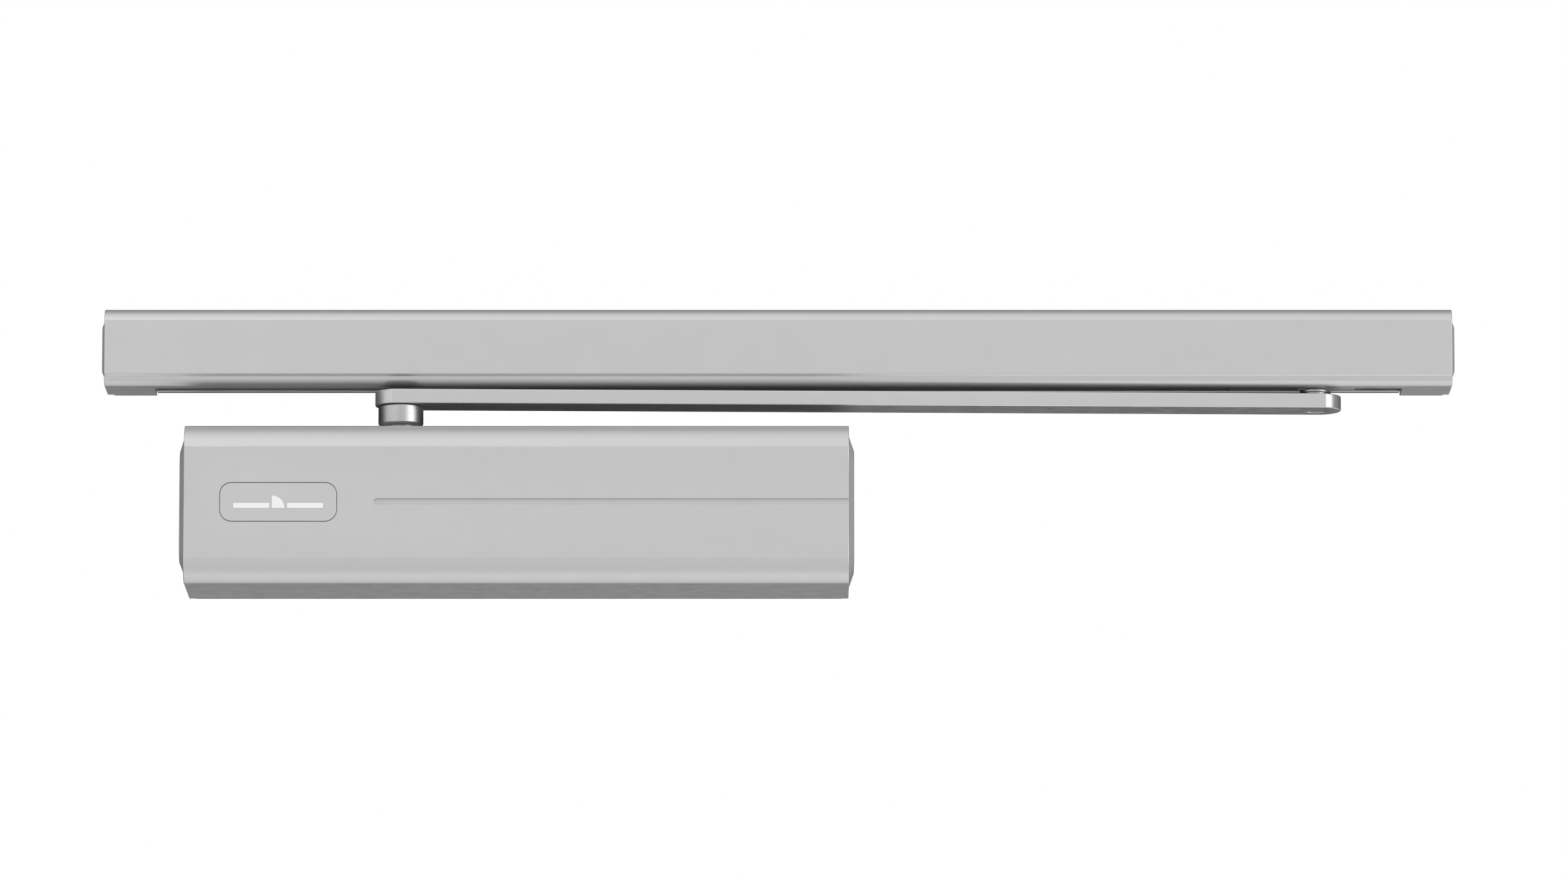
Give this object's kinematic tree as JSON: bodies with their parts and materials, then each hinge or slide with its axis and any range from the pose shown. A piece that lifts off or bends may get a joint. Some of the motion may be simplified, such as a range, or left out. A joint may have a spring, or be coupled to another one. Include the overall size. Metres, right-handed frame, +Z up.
{
  "type": "door closer",
  "caption": "Surface-mounted door closer: hydraulic closer body with a heart cam, swinging arm and slide block running in a guide rail.",
  "frame": {"origin": "centre of the closer's back face, where its mounting plate meets the door", "axes": "+X to the right along the closer and the rail, +Y into the door, +Z up; the covers face -Y"},
  "size_m": [0.5122, 0.0485, 0.1074],
  "materials": {
    "cover_silver": "fine-grained silver lacquer, satin",
    "cap_grey": "satin grey moulded plastic",
    "badge": "satin silver plate with a plain white device",
    "arm_silver": "satin silver lacquer on steel",
    "housing_cast": "die-cast, as cast",
    "track_aluminium": "extruded, mill finish",
    "bright_steel": "ground and polished steel",
    "dark_steel": "black-oxide steel",
    "zinc_steel": "zinc-plated steel",
    "brass": "turned brass",
    "nylon": "glass-filled nylon, grey",
    "rubber": "black rubber"
  },
  "bodies": {
    "closer_body": {"mounting_plate": "zinc_steel", "closer_housing": "housing_cast", "body_cover": "cover_silver", "badge_plate": "badge", "cover_end_cap_left": "cap_grey", "cover_end_cap_right": "cap_grey", "cylinder_plug_left": "zinc_steel", "cylinder_plug_right": "zinc_steel", "upper_bearing": "bright_steel", "lower_bearing": "bright_steel", "shaft_seal": "rubber", "spindle_cap": "zinc_steel", "main_spring": "dark_steel", "damper_return_spring": "dark_steel", "housing_screw_upper_left": "dark_steel", "housing_screw_upper_right": "dark_steel", "housing_screw_lower_left": "dark_steel", "housing_screw_lower_right": "dark_steel"},
    "arm_assembly": {"cam_spindle": "bright_steel", "arm_hub_collar": "bright_steel", "arm": "arm_silver", "arm_fixing_screw": "dark_steel", "slide_pin": "bright_steel", "slide_pin_clip": "dark_steel"},
    "spring_piston_assembly": {"spring_piston": "bright_steel", "spring_roller_pin": "dark_steel"},
    "spring_roller_body": {"spring_roller": "bright_steel"},
    "damper_piston_assembly": {"damper_piston": "bright_steel", "damper_roller_pin": "dark_steel", "damper_piston_ring": "nylon"},
    "damper_roller_body": {"damper_roller": "bright_steel"},
    "slide_block_body": {"slide_block": "nylon"},
    "rail_assembly": {"guide_rail": "track_aluminium", "rail_cover": "cover_silver", "rail_end_cap_left": "cap_grey", "rail_end_cap_right": "cap_grey", "rail_end_block_left": "housing_cast", "rail_end_block_right": "housing_cast", "rail_buffer_left": "rubber", "rail_buffer_right": "rubber"},
    "closing_speed_valve_body": {"closing_speed_valve": "brass"},
    "latch_speed_valve_body": {"latch_speed_valve": "brass"},
    "power_adjusting_screw_body": {"power_adjusting_screw": "dark_steel"},
    "spring_plate_body": {"spring_plate": "zinc_steel"}
  },
  "joints": [
    {"name": "arm_swing", "type": "hinge", "parent": "closer_body", "child": "arm_assembly", "pos_m": [-0.0443, -0.0238, 0.0401], "axis": [0, 0, 1], "range_deg": [0, 170], "stiffness_Nm_per_rad": 4, "springref_deg": -45.84},
    {"name": "spring_piston_slide", "type": "slide", "parent": "closer_body", "child": "spring_piston_assembly", "axis": [1, 0, 0], "range_m": [0, 0.0085], "deforming": ["main_spring"]},
    {"name": "damper_piston_slide", "type": "slide", "parent": "closer_body", "child": "damper_piston_assembly", "axis": [1, 0, 0], "range_m": [0, 0.0085], "deforming": ["damper_return_spring"]},
    {"name": "spring_roller_spin", "type": "hinge", "parent": "spring_piston_assembly", "child": "spring_roller_body", "pos_m": [-0.0297, -0.0238, 0], "axis": [0, 0, 1], "continuous": true},
    {"name": "damper_roller_spin", "type": "hinge", "parent": "damper_piston_assembly", "child": "damper_roller_body", "pos_m": [-0.0677, -0.0238, 0], "axis": [0, 0, 1], "continuous": true},
    {"name": "block_pivot", "type": "hinge", "parent": "arm_assembly", "child": "slide_block_body", "pos_m": [0.302, -0.0132, 0.0453], "axis": [0, 0, 1], "range_deg": [-90, 90]},
    {"name": "rail_slide", "type": "slide", "parent": "slide_block_body", "child": "rail_assembly", "axis": [1, 0, 0], "range_m": [-0.005, 0.398]},
    {"name": "closing_speed_adjust", "type": "hinge", "parent": "closer_body", "child": "closing_speed_valve_body", "pos_m": [-0.094, -0.0434, -0.0185], "axis": [0, -1, 0], "range_deg": [-360, 360]},
    {"name": "latch_speed_adjust", "type": "hinge", "parent": "closer_body", "child": "latch_speed_valve_body", "pos_m": [-0.078, -0.0434, -0.0185], "axis": [0, -1, 0], "range_deg": [-360, 360]},
    {"name": "power_adjust", "type": "hinge", "parent": "closer_body", "child": "power_adjusting_screw_body", "pos_m": [0.1112, -0.0238, 0], "axis": [1, 0, 0], "range_deg": [-1, 2161]},
    {"name": "spring_plate_slide", "type": "slide", "parent": "closer_body", "child": "spring_plate_body", "axis": [1, 0, 0], "range_m": [-0.006, 0]}
  ],
  "couplings": [
    {"joint": "spring_piston_slide", "follows": "arm_swing", "m_per_rad": 0.0028},
    {"joint": "damper_piston_slide", "follows": "arm_swing", "m_per_rad": 0.0028},
    {"joint": "power_adjust", "follows": "spring_plate_slide", "rad_per_m": -6283.2}
  ]
}
